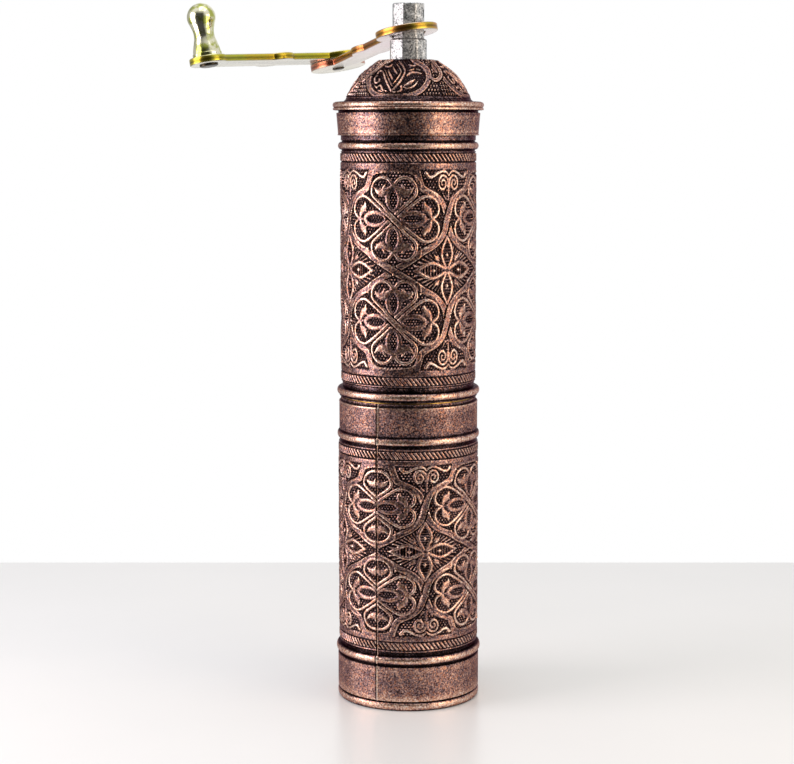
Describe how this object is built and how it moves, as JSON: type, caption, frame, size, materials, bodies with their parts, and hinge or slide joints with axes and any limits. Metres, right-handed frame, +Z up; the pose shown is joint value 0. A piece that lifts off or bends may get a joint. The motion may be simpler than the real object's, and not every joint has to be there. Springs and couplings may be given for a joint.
{
  "type": "manual coffee grinder",
  "caption": "Cylindrical hand coffee mill of embossed copper with a domed lid, a folding crank, an inner conical burr set and a pull-off cup for the grounds.",
  "frame": {"origin": "centre of the flat underside of the base, on the grinder's axis", "axes": "+Z up along the grinder's axis, front towards -Y, +X to the front's right"},
  "size_m": [0.0898, 0.0801, 0.2112],
  "materials": {
    "antique_copper": "antiqued copper, dark in the hollows and rubbed bright on the raised ornament",
    "plain_brass": "turned, unpolished",
    "knob_brass": "polished pale brass",
    "crank_steel": "pressed steel with yellow passivated zinc plating",
    "head_casting": "zinc-plated casting, scratched",
    "burr_iron": "hardened, dark",
    "bright_steel": "machined"
  },
  "bodies": {
    "cup": {"cup_shell": "antique_copper", "cup_base": "antique_copper"},
    "barrel": {"barrel_tube": "antique_copper", "neck_sleeve": "plain_brass", "lid_seat": "plain_brass", "upper_bridge": "bright_steel", "upper_bush": "plain_brass", "outer_burr": "burr_iron", "lower_bridge": "bright_steel", "bridge_screw_1": "bright_steel", "bridge_screw_2": "bright_steel", "jam_nut": "bright_steel", "spring": "bright_steel"},
    "thrust_ball": {"thrust_ball": "bright_steel"},
    "adjust_screw": {"adjust_screw": "bright_steel"},
    "spindle": {"spindle": "bright_steel", "inner_burr": "burr_iron", "burr_nut": "bright_steel", "spring_collar": "bright_steel", "drive_head": "head_casting", "head_pin": "bright_steel"},
    "inner_arm": {"inner_arm": "crank_steel", "pivot_rivet": "crank_steel"},
    "outer_arm": {"outer_arm": "crank_steel", "knob_pin": "bright_steel"},
    "knob": {"knob": "knob_brass"},
    "lid": {"lid_ring": "antique_copper", "lid_dome": "antique_copper", "lid_ferrule": "antique_copper"}
  },
  "joints": [
    {"name": "barrel_lift", "type": "slide", "parent": "cup", "child": "barrel", "axis": [0, 0, 1], "range_m": [0, 0.03]},
    {"name": "adjust_rise", "type": "slide", "parent": "barrel", "child": "thrust_ball", "axis": [0, 0, 1], "range_m": [-0.0007, 0.0007], "deforming": ["spring"]},
    {"name": "adjust_turn", "type": "hinge", "parent": "thrust_ball", "child": "adjust_screw", "pos_m": [0, 0, 0.075], "axis": [0, 0, 1], "range_deg": [-362, 362]},
    {"name": "crank_turn", "type": "hinge", "parent": "thrust_ball", "child": "spindle", "pos_m": [0, 0, 0.15], "axis": [0, 0, 1], "continuous": true},
    {"name": "handle_lift", "type": "slide", "parent": "spindle", "child": "inner_arm", "axis": [0, 0, 1], "range_m": [0, 0.062]},
    {"name": "arm_fold", "type": "hinge", "parent": "inner_arm", "child": "outer_arm", "pos_m": [-0.02259, 0.04834, 0.19282], "axis": [-0.1577, 0.0947, 0.9829], "range_deg": [-274, 54]},
    {"name": "knob_spin", "type": "hinge", "parent": "outer_arm", "child": "knob", "pos_m": [-0.06048, 0.0098, 0.19275], "axis": [-0.1577, 0.0947, 0.9829], "continuous": true},
    {"name": "lid_lift", "type": "slide", "parent": "barrel", "child": "lid", "axis": [0, 0, 1], "range_m": [0, 0.0405]}
  ],
  "couplings": [
    {"joint": "adjust_turn", "follows": "adjust_rise", "rad_per_m": 8976},
    {"joint": "lid_lift", "follows": "handle_lift", "ratio": 0.65}
  ]
}
